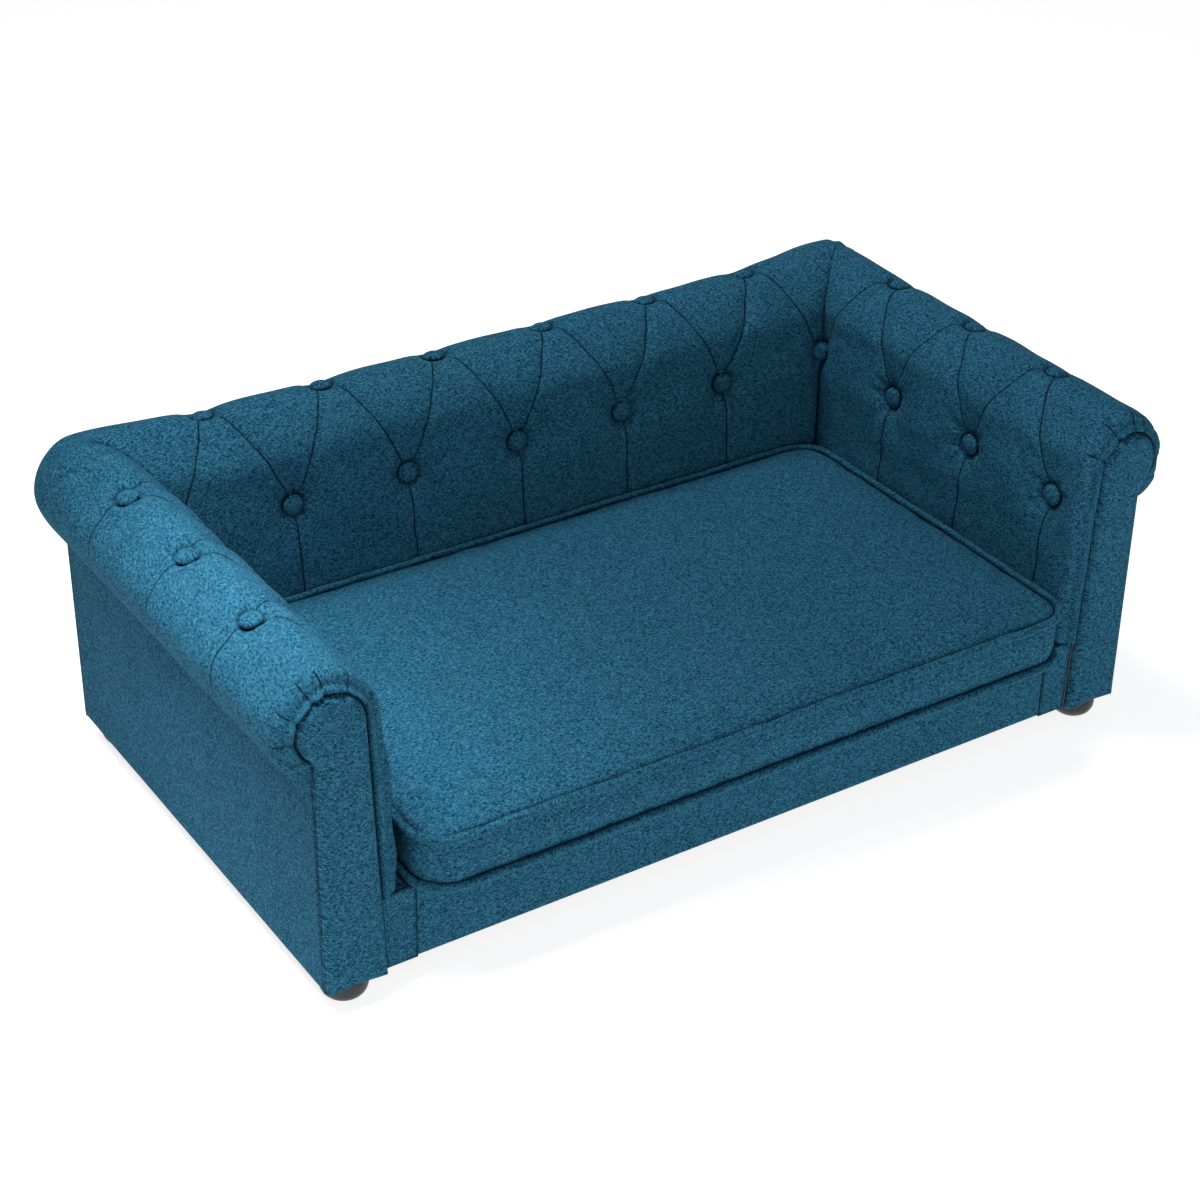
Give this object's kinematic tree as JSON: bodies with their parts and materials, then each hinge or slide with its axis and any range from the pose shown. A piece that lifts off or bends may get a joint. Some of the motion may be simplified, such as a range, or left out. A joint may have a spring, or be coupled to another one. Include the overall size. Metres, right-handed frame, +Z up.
{
  "type": "pet sofa bed",
  "caption": "Small tufted pet sofa with rolled arms and back, keyhole arm fronts, bun feet and a loose piped seat cushion that lifts out and unzips.",
  "frame": {"origin": "on the floor, under the middle of the sofa's overall box", "axes": "+X to the right as seen from the front, the front faces -Y, +Z up"},
  "size_m": [0.8612, 0.4875, 0.3029],
  "materials": {
    "linen": "slubbed linen-look weave, teal, two-tone yarn",
    "linen_button": "teal linen over a pressed button form",
    "lining": "black spun-bonded lining",
    "fibre_fill": "white foam in a fibre wrap",
    "plywood": "raw birch plywood",
    "card_tube": "wound brown card",
    "foot_plastic": "black moulded plastic, satin",
    "screw_steel": "zinc-plated steel",
    "zip_nylon": "nylon coil zip on woven tape",
    "slider_metal": "painted zinc slider"
  },
  "bodies": {
    "sofa": {"left_front_former": "plywood", "right_front_former": "plywood", "left_inner_board": "plywood", "right_inner_board": "plywood", "left_outer_board": "plywood", "right_outer_board": "plywood", "back_inner_board": "plywood", "rear_board": "plywood", "front_rail": "plywood", "rear_rail": "plywood", "seat_stretcher": "plywood", "seat_deck": "plywood", "foot_blocks": "plywood", "foot_screws": "screw_steel", "left_roll_tube": "card_tube", "right_roll_tube": "card_tube", "back_roll_tube": "card_tube", "left_arm_pad": "linen", "right_arm_pad": "linen", "back_pad": "linen", "left_side_cover": "linen", "right_side_cover": "linen", "rear_cover": "linen", "front_rail_cover": "linen", "left_front_strip": "linen", "right_front_strip": "linen", "left_front_panel": "linen", "right_front_panel": "linen", "deck_cover": "lining", "dust_cover": "lining", "left_arm_top_buttons": "linen_button", "left_arm_low_buttons": "linen_button", "right_arm_top_buttons": "linen_button", "right_arm_low_buttons": "linen_button", "back_top_buttons": "linen_button", "back_low_buttons": "linen_button", "corner_buttons": "linen_button", "front_left_foot": "foot_plastic", "front_right_foot": "foot_plastic", "rear_left_foot": "foot_plastic", "rear_right_foot": "foot_plastic"},
    "cushion": {"cushion_insert": "fibre_fill", "cushion_top_panel": "linen", "cushion_bottom_panel": "linen", "cushion_boxing": "linen", "top_piping": "linen", "bottom_piping": "linen", "cushion_zip": "zip_nylon"},
    "zip_slider": {"zip_slider": "slider_metal"}
  },
  "joints": [
    {"name": "cushion_lift", "type": "slide", "parent": "sofa", "child": "cushion", "axis": [0, 0, 1], "range_m": [0, 0.26]},
    {"name": "zip_slide", "type": "slide", "parent": "cushion", "child": "zip_slider", "axis": [1, 0, 0], "range_m": [0, 0.4594]}
  ]
}
